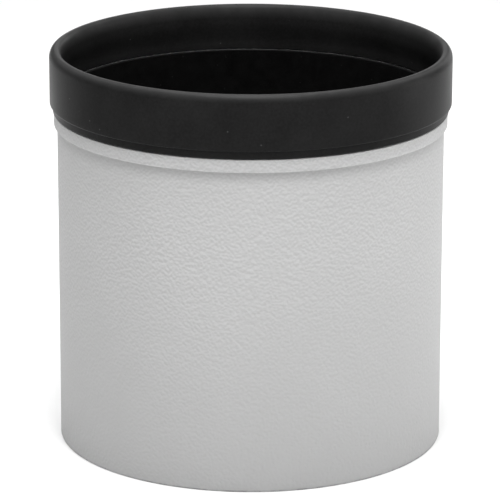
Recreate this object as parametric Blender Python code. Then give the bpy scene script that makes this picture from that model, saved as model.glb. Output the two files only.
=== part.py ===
"""Slip-on hood for a very large telephoto lens.

A painted aluminium tube with a raised band and a thick rubber bumper ring at its front, a black
lining inside, and a lens seat at its rear. A knob on the rear drives a screw that presses a padded
shoe on the lens barrel.

The frame: the origin is the centre of the rear end, on the tube's axis. +Z runs to the front, where
the rubber is, and +Y runs out through the knob. All the sizes below are in millimetres.
"""
import math

import bmesh
import bpy
from mathutils import Matrix, Vector

MM = 0.001
GAP = 0.3                       # clearance between neighbouring solids

# Barrel tube
TUBE_OUTER_R = 81.5
TUBE_INNER_R = 80.1
TUBE_EDGE_CHAMFER = 0.3
SPIGOT_R = 81.0                 # turned-down front end that the band is bonded on
SPIGOT_Z = 138.0
TUBE_FRONT_Z = 148.2

# Raised band, with the seat and the bead that hold the rubber
BAND_OUTER_R = 82.9
BAND_REAR_Z = 136.4
BAND_FRONT_Z = 141.85
RUBBER_SEAT_R = 82.2
BEAD_Z = (145.6, 147.2)

# Rubber bumper ring
BUMPER_OUTER_R = 84.6
BUMPER_SKIRT_R = 83.3           # the narrower rear edge
BUMPER_STEP_Z = 145.4
BUMPER_THROAT_R = 79.1
BUMPER_INNER_R = 80.8
BUMPER_TOP_Z = 168.5
LIP_ACROSS = 2.25               # from the lip's flat crest to its outer and inner side
LIP_OUTER_DROP = 3.6            # the outer side is reached this far below the crest
THROAT_DROP = 7.5               # the inner side rolls over more slowly
FLARE_LENGTH = 10.0             # from the throat down to the straight inner wall
LIP_STEPS = 4
FLARE_STEPS = 3

# Lining
FELT_OUTER_R = TUBE_INNER_R - GAP
FELT_THICKNESS = 0.4

# Rear collar: the seat for the lens's front barrel
COLLAR_OUTER_R = TUBE_INNER_R - GAP
COLLAR_FRONT_Z = 25.0
SEAT_R = 77.2
SEAT_FRONT_Z = 22.0
STOP_R = 75.5                   # the shoulder that stops the lens
SEAT_LEAD_IN = 0.8
SEAT_FELT_THICKNESS = 0.5
SEAT_FELT_Z = (2.0, 20.5)
SEAT_FELT_COUNT = 3
SEAT_FELT_GAP_DEG = 2.0
SEAT_FELT_CLEAR_DEG = 22.0      # no felt this far each side of the shoe

# Clamp shoe and its pad
SCREW_Z = 14.0
SHOE_R = (78.2, TUBE_INNER_R - GAP)
SHOE_HALF_HEIGHT = 6.0
SHOE_HALF_DEG = 15.0
PAD_R = (76.9, 77.9)
PAD_HALF_HEIGHT = 5.5
PAD_HALF_DEG = 14.0
PAD_HOLE_R = 4.2
WINDOW_HALF_WIDTH = 21.3
WINDOW_HALF_HEIGHT = 6.6
WINDOW_DEPTH = 20.0
SHOE_TRAVEL = 1.6               # from loose to tight, two turns of the screw

# Guide pins, each side of the screw
GUIDE_X = 12.0
GUIDE_PIN_R = 1.0
GUIDE_HOLE_R = GUIDE_PIN_R + GAP
GUIDE_PIN_Y = (77.95, 82.3)
GUIDE_HOLE_END_Y = 82.8

# Lock screw, along +Y
SCREW_R = 2.5
SCREW_Y = (TUBE_INNER_R, 99.4)  # the full shank, from the tube's inside into the knob's core
TIP_R = 1.9
TIP_GROOVE_R = 1.4
TIP_END_Y = 76.95
CLIP_R = (1.7, 3.6)
CLIP_Y = (77.3, 77.8)
CLIP_OPEN_DEG = 50.0

# Saddle and bush
SADDLE_R = (TUBE_OUTER_R + GAP, 84.3)
SADDLE_HALF_DEG = 23.0
SADDLE_HALF_HEIGHT = 9.5
BOSS_R = 9.0
BOSS_TOP_Y = 86.5
BUSH_R = 4.2
BUSH_FLANGE_R = 6.0
BUSH_FLANGE_Y = (BOSS_TOP_Y + GAP, BOSS_TOP_Y + GAP + 1.0)
BUSH_END_Y = 80.6
SADDLE_SCREW_DEG = 19.0
SADDLE_SCREW_R = 1.2
SADDLE_SCREW_HEAD_R = 2.4
SADDLE_SCREW_ENDS = (77.6, 84.2)

# Knob: loose, its washer stands off the bush by the shoe's travel and a little more
WASHER_R = (SCREW_R + GAP, 6.5)
WASHER_THICKNESS = 0.6
WASHER_REAR_Y = BUSH_FLANGE_Y[1] + SHOE_TRAVEL + 0.4
WASHER_Y = (WASHER_REAR_Y, WASHER_REAR_Y + WASHER_THICKNESS)
KNOB_R = 11.0
KNOB_LENGTH = 12.8
KNOB_Y = (WASHER_Y[1] + GAP, WASHER_Y[1] + GAP + KNOB_LENGTH)
KNOB_EDGE = 0.8
FLUTES = 12
FLUTE_DEPTH = 0.7
INSERT_R = 4.5
INSERT_Y = (KNOB_Y[0] + 0.2, KNOB_Y[0] + 9.2)
CAP_R = 8.0
CAP_Y = (KNOB_Y[1] - 1.2, KNOB_Y[1] - 0.2)
CROSS_PIN_R = 0.8
CROSS_PIN_Y = 95.0
CROSS_PIN_HALF_LENGTH = 4.0

# Facets round one turn
RING_SEGMENTS = 60
KNOB_SEGMENTS = 48
SMALL_SEGMENTS = 24
TINY_SEGMENTS = 12
SHARP_DEG = 35.0

# Cutters along +Y start inside every piece of the clamp and end outside the saddle
CUT_START_Y = 70.0
CUT_END_Y = 95.0
CROSS_CUT_REACH = 6.0

ALONG_Y = Matrix.Rotation(-math.pi / 2, 4, "X")     # turns a lathe's +Z axis to +Y


# ---------------------------------------------------------------- tools

def clear_scene():
    for obj in list(bpy.data.objects):
        bpy.data.objects.remove(obj, do_unlink=True)


def material(name, colour, roughness, metallic=0.0):
    made = bpy.data.materials.new(name)
    made.use_nodes = True
    shader = made.node_tree.nodes["Principled BSDF"]
    shader.inputs["Base Color"].default_value = (*colour, 1.0)
    shader.inputs["Roughness"].default_value = roughness
    shader.inputs["Metallic"].default_value = metallic
    return made


def add_object(name, bm, finish, parent=None):
    """A smooth-shaded object from a mesh in millimetres, measured from its parent's origin."""
    bmesh.ops.scale(bm, vec=(MM, MM, MM), verts=bm.verts)
    bmesh.ops.recalc_face_normals(bm, faces=bm.faces)
    mesh = bpy.data.meshes.new(name)
    bm.to_mesh(mesh)
    bm.free()
    mesh.shade_smooth()
    mesh.set_sharp_from_angle(angle=math.radians(SHARP_DEG))
    if finish:
        mesh.materials.append(finish)
    obj = bpy.data.objects.new(name, mesh)
    obj.parent = parent
    bpy.context.scene.collection.objects.link(obj)
    return obj


def add_axis(name, location, parent=None):
    """An empty, placed by a location in millimetres."""
    empty = bpy.data.objects.new(name, None)
    empty.location = Vector(location) * MM
    empty.parent = parent
    bpy.context.scene.collection.objects.link(empty)
    return empty


def round_radius(radius, _angle):
    return radius


def fluted_radius(radius, angle):
    return radius - FLUTE_DEPTH * 0.5 * (1.0 - math.cos(FLUTES * angle))


def lathe(profile, segments, closed=True, shapes=None):
    """Turn (radius, height) points about Z. A radius of 0 is a point on the axis.

    closed joins the last point to the first, which makes a ring. shapes may hold a function for
    each point that bends its circle.
    """
    bm = bmesh.new()
    shapes = shapes or [round_radius] * len(profile)
    loops = []
    for (radius, height), shape in zip(profile, shapes):
        if radius == 0.0:
            loops.append([bm.verts.new((0.0, 0.0, height))] * segments)
            continue
        loop = []
        for step in range(segments):
            angle = 2.0 * math.pi * step / segments
            reach = shape(radius, angle)
            loop.append(bm.verts.new((reach * math.cos(angle), reach * math.sin(angle), height)))
        loops.append(loop)
    pairs = list(zip(loops, loops[1:]))
    if closed:
        pairs.append((loops[-1], loops[0]))
    for low, high in pairs:
        for step in range(segments):
            after = (step + 1) % segments
            corners = [low[step], low[after], high[after], high[step]]
            bm.faces.new(dict.fromkeys(corners))
    return bm


def arc_points(centre, radii, start_deg, end_deg, steps):
    """Points on an arc of an ellipse in the profile's plane, both ends included."""
    points = []
    for step in range(steps + 1):
        angle = math.radians(start_deg + (end_deg - start_deg) * step / steps)
        points.append((centre[0] + radii[0] * math.cos(angle), centre[1] + radii[1] * math.sin(angle)))
    return points


def curved_plate(radii, heights, middle_deg, half_deg, step_deg=3.0):
    """A plate bent round Z, from middle_deg - half_deg to middle_deg + half_deg."""
    bm = bmesh.new()
    steps = max(2, round(2.0 * half_deg / step_deg))
    sections = []
    for step in range(steps + 1):
        angle = math.radians(middle_deg - half_deg + 2.0 * half_deg * step / steps)
        section = []
        for radius, height in ((radii[0], heights[0]), (radii[1], heights[0]),
                               (radii[1], heights[1]), (radii[0], heights[1])):
            section.append(bm.verts.new((radius * math.cos(angle), radius * math.sin(angle), height)))
        sections.append(section)
    for near, far in zip(sections, sections[1:]):
        for corner in range(4):
            after = (corner + 1) % 4
            bm.faces.new((near[corner], near[after], far[after], far[corner]))
    bm.faces.new(sections[0])
    bm.faces.new(sections[-1])
    return bm


def rod(start, end, radius, segments=TINY_SEGMENTS, end_radius=None):
    """A round bar, or a cone where end_radius differs, from start to end."""
    start = Vector(start)
    end = Vector(end)
    bm = bmesh.new()
    turn = (end - start).to_track_quat("Z", "Y").to_matrix().to_4x4()
    bmesh.ops.create_cone(
        bm, cap_ends=True, segments=segments, radius1=radius,
        radius2=radius if end_radius is None else end_radius, depth=(end - start).length,
        matrix=Matrix.Translation((start + end) / 2.0) @ turn)
    return bm


def boolean(target, tool, operation):
    """Join or cut target with a tool object that stays out of the model."""
    tool.hide_render = True
    tool.display_type = "WIRE"
    modifier = target.modifiers.new(tool.name, "BOOLEAN")
    modifier.operation = operation
    modifier.solver = "EXACT"
    modifier.object = tool


def drill(target, start, end, radius, segments=TINY_SEGMENTS, end_radius=None):
    number = len(target.modifiers) + 1
    cutter = add_object(f"{target.name}_cutter_{number}",
                        rod(start, end, radius, segments, end_radius), None, target.parent)
    boolean(target, cutter, "DIFFERENCE")


def radial_point(degrees_from_y, radius, height):
    """A point at an angle from +Y, positive towards +X."""
    angle = math.radians(degrees_from_y)
    return (radius * math.sin(angle), radius * math.cos(angle), height)


def turned_on_screw_axis(name, profile, segments, finish, parent, closed=True, shapes=None):
    """A piece turned about +Y. Its parent sits on the screw's axis."""
    bm = lathe(profile, segments, closed, shapes)
    bmesh.ops.transform(bm, matrix=ALONG_Y, verts=bm.verts)
    return add_object(name, bm, finish, parent)


# ---------------------------------------------------------------- tube, band, rubber and lining

def drill_for_clamp(target, screw_hole_r):
    """The holes that the tube and the saddle share, in line along +Y."""
    drill(target, (0, CUT_START_Y, SCREW_Z), (0, CUT_END_Y, SCREW_Z), screw_hole_r, SMALL_SEGMENTS)
    for side in (-1, 1):
        drill(target, (side * GUIDE_X, CUT_START_Y, SCREW_Z),
              (side * GUIDE_X, GUIDE_HOLE_END_Y, SCREW_Z), GUIDE_HOLE_R)


def drill_for_saddle_screws(target):
    for side in (-1, 1):
        drill(target, radial_point(side * SADDLE_SCREW_DEG, CUT_START_Y, SCREW_Z),
              radial_point(side * SADDLE_SCREW_DEG, CUT_END_Y, SCREW_Z), SADDLE_SCREW_R + GAP)


def build_tube(finish):
    profile = [
        (TUBE_INNER_R, 0.0),
        (TUBE_OUTER_R - TUBE_EDGE_CHAMFER, 0.0),
        (TUBE_OUTER_R, TUBE_EDGE_CHAMFER),
        (TUBE_OUTER_R, SPIGOT_Z),
        (SPIGOT_R, SPIGOT_Z),
        (SPIGOT_R, TUBE_FRONT_Z),
        (TUBE_INNER_R, TUBE_FRONT_Z),
    ]
    tube = add_object("barrel_tube", lathe(profile, RING_SEGMENTS), finish)
    drill_for_clamp(tube, BUSH_R + GAP)
    drill_for_saddle_screws(tube)


def build_band(finish):
    bead_r = BAND_OUTER_R
    slope = 0.2
    profile = [
        (TUBE_OUTER_R + GAP, BAND_REAR_Z),
        (BAND_OUTER_R, BAND_REAR_Z),
        (BAND_OUTER_R, BAND_FRONT_Z),
        (RUBBER_SEAT_R, BAND_FRONT_Z),
        (RUBBER_SEAT_R, BEAD_Z[0] - slope),
        (bead_r, BEAD_Z[0]),
        (bead_r, BEAD_Z[1]),
        (RUBBER_SEAT_R, BEAD_Z[1] + slope),
        (RUBBER_SEAT_R, TUBE_FRONT_Z),
        (SPIGOT_R + GAP, TUBE_FRONT_Z),
        (SPIGOT_R + GAP, SPIGOT_Z + GAP),
        (TUBE_OUTER_R + GAP, SPIGOT_Z + GAP),
    ]
    add_object("front_band", lathe(profile, RING_SEGMENTS), finish)


def build_bumper(finish):
    """The rubber ring: a rounded lip in front, a groove over the band's bead inside its skirt."""
    edge = 0.25
    outer_z = BUMPER_TOP_Z - LIP_OUTER_DROP
    throat_z = BUMPER_TOP_Z - THROAT_DROP
    inside_r = RUBBER_SEAT_R + GAP
    groove_r = BAND_OUTER_R + GAP
    ledge_z = TUBE_FRONT_Z + GAP
    profile = [
        (inside_r, BAND_FRONT_Z + GAP),
        (BUMPER_SKIRT_R, BAND_FRONT_Z + GAP),
        (BUMPER_SKIRT_R, BUMPER_STEP_Z),
        (BUMPER_OUTER_R - edge, BUMPER_STEP_Z),
        (BUMPER_OUTER_R, BUMPER_STEP_Z + edge),
    ]
    profile += arc_points((BUMPER_OUTER_R - LIP_ACROSS, outer_z), (LIP_ACROSS, LIP_OUTER_DROP),
                          0, 90, LIP_STEPS)
    profile += arc_points((BUMPER_THROAT_R + LIP_ACROSS, throat_z), (LIP_ACROSS, THROAT_DROP),
                          90, 180, LIP_STEPS)
    for step in range(1, FLARE_STEPS + 1):
        share = step / FLARE_STEPS
        widening = (BUMPER_INNER_R - BUMPER_THROAT_R) * 0.5 * (1.0 - math.cos(math.pi * share))
        profile.append((BUMPER_THROAT_R + widening, throat_z - FLARE_LENGTH * share))
    profile += [
        (BUMPER_INNER_R, ledge_z),
        (inside_r, ledge_z),
        (inside_r, BEAD_Z[1] + 0.5),
        (groove_r, BEAD_Z[1] + GAP),
        (groove_r, BEAD_Z[0] - GAP),
        (inside_r, BEAD_Z[0] - 0.5),
    ]
    add_object("bumper_ring", lathe(profile, RING_SEGMENTS), finish)


def build_lining(finish):
    low = COLLAR_FRONT_Z + GAP
    high = TUBE_FRONT_Z - GAP
    inner_r = FELT_OUTER_R - FELT_THICKNESS
    profile = [(inner_r, low), (FELT_OUTER_R, low), (FELT_OUTER_R, high), (inner_r, high)]
    add_object("felt_lining", lathe(profile, RING_SEGMENTS), finish)


# ---------------------------------------------------------------- lens seat

def build_collar(finish):
    profile = [
        (SEAT_R + SEAT_LEAD_IN, GAP),
        (COLLAR_OUTER_R, GAP),
        (COLLAR_OUTER_R, COLLAR_FRONT_Z),
        (STOP_R, COLLAR_FRONT_Z),
        (STOP_R, SEAT_FRONT_Z),
        (SEAT_R, SEAT_FRONT_Z),
        (SEAT_R, GAP + SEAT_LEAD_IN),
    ]
    collar = add_object("rear_collar", lathe(profile, RING_SEGMENTS), finish)
    window = bmesh.new()
    bmesh.ops.create_cube(window, size=1.0)
    bmesh.ops.scale(window, vec=(2 * WINDOW_HALF_WIDTH, WINDOW_DEPTH, 2 * WINDOW_HALF_HEIGHT),
                    verts=window.verts)
    bmesh.ops.translate(window, vec=(0.0, TUBE_INNER_R, SCREW_Z), verts=window.verts)
    boolean(collar, add_object("window_cutter", window, None), "DIFFERENCE")
    drill_for_saddle_screws(collar)


def build_seat_felt(finish):
    outer_r = SEAT_R - GAP
    radii = (outer_r - SEAT_FELT_THICKNESS, outer_r)
    free = 360.0 - 2.0 * SEAT_FELT_CLEAR_DEG - (SEAT_FELT_COUNT - 1) * SEAT_FELT_GAP_DEG
    length = free / SEAT_FELT_COUNT
    for index in range(SEAT_FELT_COUNT):
        start = 90.0 + SEAT_FELT_CLEAR_DEG + index * (length + SEAT_FELT_GAP_DEG)
        strip = curved_plate(radii, SEAT_FELT_Z, start + length / 2.0, length / 2.0, step_deg=5.0)
        add_object(f"seat_felt_{index + 1}", strip, finish)


# ---------------------------------------------------------------- clamp shoe

def build_shoe(shoe_axis, metal, pad_finish):
    """The shoe's pieces are modelled from shoe_axis, which sits at the screw's height."""
    half = SHOE_HALF_HEIGHT
    shoe = add_object("clamp_shoe", curved_plate(SHOE_R, (-half, half), 90.0, SHOE_HALF_DEG),
                      metal, shoe_axis)
    drill(shoe, (0, CUT_START_Y, 0), (0, CUT_END_Y, 0), TIP_R + GAP)
    for side in (-1, 1):
        drill(shoe, (side * GUIDE_X, CUT_START_Y, 0), (side * GUIDE_X, CUT_END_Y, 0), GUIDE_HOLE_R)
    half = PAD_HALF_HEIGHT
    pad = add_object("shoe_pad", curved_plate(PAD_R, (-half, half), 90.0, PAD_HALF_DEG),
                     pad_finish, shoe_axis)
    drill(pad, (0, CUT_START_Y, 0), (0, CUT_END_Y, 0), PAD_HOLE_R, SMALL_SEGMENTS)


def build_guide_pins(shoe_axis, metal):
    for index, side in enumerate((-1, 1)):
        x = side * GUIDE_X
        pin = rod((x, GUIDE_PIN_Y[0], 0), (x, GUIDE_PIN_Y[1], 0), GUIDE_PIN_R)
        add_object(f"guide_pin_{index + 1}", pin, metal, shoe_axis)


# ---------------------------------------------------------------- saddle and bush

def build_saddle(finish):
    heights = (SCREW_Z - SADDLE_HALF_HEIGHT, SCREW_Z + SADDLE_HALF_HEIGHT)
    saddle = add_object("knob_saddle", curved_plate(SADDLE_R, heights, 90.0, SADDLE_HALF_DEG), finish)
    boss_root_y = (SADDLE_R[0] + SADDLE_R[1]) / 2.0
    boss = add_object("boss_tool", rod((0, boss_root_y, SCREW_Z), (0, BOSS_TOP_Y, SCREW_Z), BOSS_R,
                                       SMALL_SEGMENTS), None)
    boolean(saddle, boss, "UNION")
    drill_for_clamp(saddle, BUSH_R + GAP)
    drill_for_saddle_screws(saddle)
    head_depth = SADDLE_SCREW_HEAD_R - SADDLE_SCREW_R
    for side in (-1, 1):
        drill(saddle, radial_point(side * SADDLE_SCREW_DEG, SADDLE_R[1] - head_depth - GAP, SCREW_Z),
              radial_point(side * SADDLE_SCREW_DEG, SADDLE_R[1] + GAP, SCREW_Z),
              SADDLE_SCREW_R + GAP, TINY_SEGMENTS, SADDLE_SCREW_HEAD_R + 2.0 * GAP)


def build_saddle_screws(finish):
    """Countersunk screws that point at the tube's axis. Each origin is at its shank's end."""
    inner, outer = SADDLE_SCREW_ENDS
    length = outer - inner
    head_depth = SADDLE_SCREW_HEAD_R - SADDLE_SCREW_R
    socket_r = 0.9
    socket_depth = 0.9
    profile = [
        (0.0, 0.0),
        (SADDLE_SCREW_R, 0.0),
        (SADDLE_SCREW_R, length - head_depth),
        (SADDLE_SCREW_HEAD_R, length),
        (socket_r, length),
        (socket_r, length - socket_depth),
        (0.0, length - socket_depth),
    ]
    for index, side in enumerate((-1, 1)):
        origin = Vector(radial_point(side * SADDLE_SCREW_DEG, inner, SCREW_Z))
        direction = Vector(radial_point(side * SADDLE_SCREW_DEG, 1.0, 0.0))
        screw = add_object(f"saddle_screw_{index + 1}", lathe(profile, TINY_SEGMENTS, False), finish)
        screw.location = origin * MM
        screw.rotation_euler = direction.to_track_quat("Z", "Y").to_euler()


def build_bush(screw_axis, finish):
    profile = [
        (SCREW_R + GAP, BUSH_END_Y),
        (BUSH_R, BUSH_END_Y),
        (BUSH_R, BUSH_FLANGE_Y[0]),
        (BUSH_FLANGE_R, BUSH_FLANGE_Y[0]),
        (BUSH_FLANGE_R, BUSH_FLANGE_Y[1]),
        (SCREW_R + GAP, BUSH_FLANGE_Y[1]),
    ]
    turned_on_screw_axis("threaded_bush", profile, SMALL_SEGMENTS, finish, screw_axis)


# ---------------------------------------------------------------- screw and knob

def drill_for_cross_pin(target):
    drill(target, (0, CROSS_PIN_Y, -CROSS_CUT_REACH), (0, CROSS_PIN_Y, CROSS_CUT_REACH),
          CROSS_PIN_R + GAP)


def build_lock_screw(knob_axis, finish):
    chamfer = 0.5
    groove_y = (CLIP_Y[0] - 0.2, CLIP_Y[1] + 0.2)
    profile = [
        (0.0, TIP_END_Y),
        (TIP_R, TIP_END_Y),
        (TIP_R, groove_y[0]),
        (TIP_GROOVE_R, groove_y[0]),
        (TIP_GROOVE_R, groove_y[1]),
        (TIP_R, groove_y[1]),
        (TIP_R, SCREW_Y[0]),
        (SCREW_R, SCREW_Y[0]),
        (SCREW_R, SCREW_Y[1] - chamfer),
        (SCREW_R - chamfer, SCREW_Y[1]),
        (0.0, SCREW_Y[1]),
    ]
    screw = turned_on_screw_axis("lock_screw", profile, SMALL_SEGMENTS, finish, knob_axis, False)
    drill_for_cross_pin(screw)


def build_clip(knob_axis, finish):
    """An open ring in the groove of the screw's tip."""
    half = (360.0 - CLIP_OPEN_DEG) / 2.0
    bm = curved_plate(CLIP_R, CLIP_Y, 90.0, half, step_deg=18.0)
    bmesh.ops.transform(bm, matrix=ALONG_Y, verts=bm.verts)
    add_object("retaining_clip", bm, finish, knob_axis)


def build_washer(knob_axis, finish):
    profile = [
        (WASHER_R[0], WASHER_Y[0]),
        (WASHER_R[1], WASHER_Y[0]),
        (WASHER_R[1], WASHER_Y[1]),
        (WASHER_R[0], WASHER_Y[1]),
    ]
    turned_on_screw_axis("knob_washer", profile, SMALL_SEGMENTS, finish, knob_axis)


def build_insert(knob_axis, finish):
    profile = [
        (SCREW_R + GAP, INSERT_Y[0]),
        (INSERT_R, INSERT_Y[0]),
        (INSERT_R, INSERT_Y[1]),
        (SCREW_R + GAP, INSERT_Y[1]),
    ]
    insert = turned_on_screw_axis("knob_insert", profile, SMALL_SEGMENTS, finish, knob_axis)
    drill_for_cross_pin(insert)


def build_cross_pin(knob_axis, finish):
    reach = CROSS_PIN_HALF_LENGTH
    pin = rod((0, CROSS_PIN_Y, -reach), (0, CROSS_PIN_Y, reach), CROSS_PIN_R)
    add_object("cross_pin", pin, finish, knob_axis)


def build_knob_body(knob_axis, finish):
    """A fluted cup: the core goes in from below, the cap into the recess on the outer end."""
    bore_r = INSERT_R + GAP
    bore_end = INSERT_Y[1] + GAP
    recess_r = CAP_R + GAP
    recess_y = CAP_Y[0] - GAP
    profile = [
        (0.0, bore_end),
        (bore_r, bore_end),
        (bore_r, KNOB_Y[0]),
        (KNOB_R - KNOB_EDGE, KNOB_Y[0]),
        (KNOB_R, KNOB_Y[0] + KNOB_EDGE),
        (KNOB_R, KNOB_Y[1] - KNOB_EDGE),
        (KNOB_R - KNOB_EDGE, KNOB_Y[1]),
        (recess_r, KNOB_Y[1]),
        (recess_r, recess_y),
        (0.0, recess_y),
    ]
    shapes = [fluted_radius if radius > recess_r else round_radius for radius, _height in profile]
    turned_on_screw_axis("knob_body", profile, KNOB_SEGMENTS, finish, knob_axis, False, shapes)


def build_cap(knob_axis, finish):
    edge = 0.3
    profile = [
        (0.0, CAP_Y[0]),
        (CAP_R, CAP_Y[0]),
        (CAP_R, CAP_Y[1] - edge),
        (CAP_R - edge, CAP_Y[1]),
        (0.0, CAP_Y[1]),
    ]
    turned_on_screw_axis("knob_cap", profile, SMALL_SEGMENTS, finish, knob_axis, False)


def build():
    clear_scene()
    paint = material("grey_wrinkle_paint", (0.56, 0.56, 0.56), 0.55)
    rubber = material("black_rubber", (0.02, 0.02, 0.02), 0.6)
    felt = material("black_felt", (0.004, 0.004, 0.004), 1.0)
    anodised = material("black_anodised", (0.02, 0.02, 0.022), 0.4, 0.6)
    steel = material("steel", (0.55, 0.55, 0.56), 0.3, 1.0)
    brass = material("brass", (0.72, 0.5, 0.2), 0.3, 1.0)
    plastic = material("black_plastic", (0.015, 0.015, 0.015), 0.45)
    nylon = material("white_nylon", (0.7, 0.7, 0.68), 0.5)

    build_tube(paint)
    build_band(paint)
    build_bumper(rubber)
    build_lining(felt)

    build_collar(anodised)
    build_seat_felt(felt)
    build_saddle(anodised)
    build_saddle_screws(steel)

    # The empties stand where the screw's axis crosses the tube's axis
    screw_axis = add_axis("screw_axis", (0.0, 0.0, SCREW_Z))
    shoe_axis = add_axis("shoe_axis", (0.0, 0.0, 0.0), screw_axis)
    knob_axis = add_axis("knob_axis", (0.0, 0.0, 0.0), shoe_axis)
    build_bush(screw_axis, brass)
    build_shoe(shoe_axis, steel, felt)
    build_guide_pins(shoe_axis, steel)
    build_lock_screw(knob_axis, steel)
    build_clip(knob_axis, steel)
    build_washer(knob_axis, nylon)
    build_insert(knob_axis, brass)
    build_cross_pin(knob_axis, steel)
    build_knob_body(knob_axis, plastic)
    build_cap(knob_axis, plastic)


build()
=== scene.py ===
"""The looks of the telephoto lens hood: fine meshes, materials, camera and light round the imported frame.

All lengths are in metres, in the frame's own axes: the hood stands on its rear end at z = 0, its
rubber front ring is up, and the clamp knob points along +Y. Each fine piece takes the place of one
CAD node and reads its main sizes from that node's box.
"""

import math

import bmesh
import bpy
from mathutils import Matrix, Vector


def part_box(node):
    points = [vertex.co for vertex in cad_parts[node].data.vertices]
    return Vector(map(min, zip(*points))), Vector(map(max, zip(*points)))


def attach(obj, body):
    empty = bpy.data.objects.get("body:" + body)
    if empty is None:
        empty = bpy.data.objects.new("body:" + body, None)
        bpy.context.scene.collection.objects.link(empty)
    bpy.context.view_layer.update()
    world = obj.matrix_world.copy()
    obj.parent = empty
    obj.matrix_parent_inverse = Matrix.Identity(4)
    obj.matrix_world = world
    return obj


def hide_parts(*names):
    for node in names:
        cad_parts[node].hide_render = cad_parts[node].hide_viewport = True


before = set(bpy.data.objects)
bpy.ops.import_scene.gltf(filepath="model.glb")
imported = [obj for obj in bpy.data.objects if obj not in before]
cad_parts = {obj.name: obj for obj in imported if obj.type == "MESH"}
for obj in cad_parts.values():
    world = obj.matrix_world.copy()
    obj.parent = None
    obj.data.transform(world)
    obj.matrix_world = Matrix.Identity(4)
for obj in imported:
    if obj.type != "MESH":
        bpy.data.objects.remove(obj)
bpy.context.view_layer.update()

MM = 0.001
RING_SEGMENTS = 288
SMALL_SEGMENTS = 96
SHARP_DEG = 40.0

# Walls that the nodes' boxes don't show
TUBE_WALL = 1.4 * MM
SPIGOT_DEPTH = 0.5 * MM         # the tube's front end is turned down by this much for the band
FELT_THICKNESS = 0.4 * MM
SEAT_FELT_THICKNESS = 0.5 * MM
THREAD_PITCH = 0.8 * MM

# The rubber ring's rounded lip
LIP_HALF = 2.75 * MM            # from the crest to each side
THROAT_FULLNESS = 0.75          # 1 would make the lip's inner side an ellipse, less makes it fuller

# The clamp, seen from the screw
SADDLE_SCREW_DEG = 19.0
SADDLE_SCREW_HOLE_R = 1.5 * MM
BUSH_HOLE_R = 4.5 * MM
GUIDE_X = 12.0 * MM
GUIDE_HOLE_R = 1.3 * MM
WINDOW_HALF_WIDTH = 21.3 * MM
WINDOW_HALF_HEIGHT = 6.6 * MM


# ---------------------------------------------------------------- sizes read from the frame

def size_about_z(node):
    """(outer radius, lowest z, highest z) of a node turned about the tube's axis."""
    low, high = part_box(node)
    return high[0], low[2], high[2]


def size_about_screw(node):
    """(outer radius, lowest y, highest y) of a node turned about the screw's axis."""
    low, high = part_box(node)
    return (high[2] - low[2]) / 2.0, low[1], high[1]


TUBE_R, TUBE_LOW, TUBE_HIGH = size_about_z("barrel_tube")
BAND_R, BAND_LOW, BAND_HIGH = size_about_z("front_band")
RING_R, RING_LOW, RING_HIGH = size_about_z("bumper_ring")
FELT_R, FELT_LOW, FELT_HIGH = size_about_z("felt_lining")
COLLAR_R, COLLAR_LOW, COLLAR_HIGH = size_about_z("rear_collar")
TUBE_INSIDE = TUBE_R - TUBE_WALL
SPIGOT_R = TUBE_R - SPIGOT_DEPTH
SPIGOT_LOW = BAND_LOW + 1.6 * MM
CUT_NEAR = TUBE_R - 12.0 * MM   # where the cutters for the clamp's holes start and end
CUT_FAR = TUBE_R + 20.0 * MM
LIP_CREST_R = RING_R - LIP_HALF
SEAT_R = COLLAR_R - 2.6 * MM
STOP_R = COLLAR_R - 4.3 * MM
SEAT_HIGH = COLLAR_HIGH - 3.0 * MM

KNOB_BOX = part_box("knob_body")
SCREW_Z = (KNOB_BOX[0][2] + KNOB_BOX[1][2]) / 2.0
ABOUT_SCREW = Matrix.Translation((0.0, 0.0, SCREW_Z)) @ Matrix.Rotation(-math.pi / 2, 4, "X")


# ---------------------------------------------------------------- mesh tools

def finish_mesh(name, bm, finish):
    """An object from a bmesh, smooth but for its sharp edges, with one finish or a list of them."""
    bmesh.ops.recalc_face_normals(bm, faces=bm.faces)
    mesh = bpy.data.meshes.new(name)
    bm.to_mesh(mesh)
    bm.free()
    mesh.shade_smooth()
    mesh.set_sharp_from_angle(angle=math.radians(SHARP_DEG))
    for part in finish if isinstance(finish, (list, tuple)) else [finish]:
        mesh.materials.append(part)
    obj = bpy.data.objects.new(name, mesh)
    bpy.context.scene.collection.objects.link(obj)
    return obj


def stand_for(obj, node, body):
    """The fine piece rides on the node's body and takes its place."""
    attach(obj, body)
    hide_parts(node)


def rounded(points, steps=5):
    """An outline from (radius, height, fillet) corners, with an arc at each corner that has a fillet."""
    outline = []
    count = len(points)
    for index, (x, y, fillet) in enumerate(points):
        corner = Vector((x, y))
        if fillet <= 0.0:
            outline.append((x, y))
            continue
        before = Vector(points[index - 1][:2]) - corner
        after = Vector(points[(index + 1) % count][:2]) - corner
        half = before.angle(after) / 2.0
        back = min(fillet / math.tan(half), before.length * 0.49, after.length * 0.49)
        radius = back * math.tan(half)
        start = corner + before.normalized() * back
        end = corner + after.normalized() * back
        centre = corner + (before.normalized() + after.normalized()).normalized() * (
            radius / math.sin(half))
        for step in range(steps + 1):
            way = (start - centre).lerp(end - centre, step / steps)
            outline.append(tuple(centre + way.normalized() * radius))
    return outline


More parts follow.
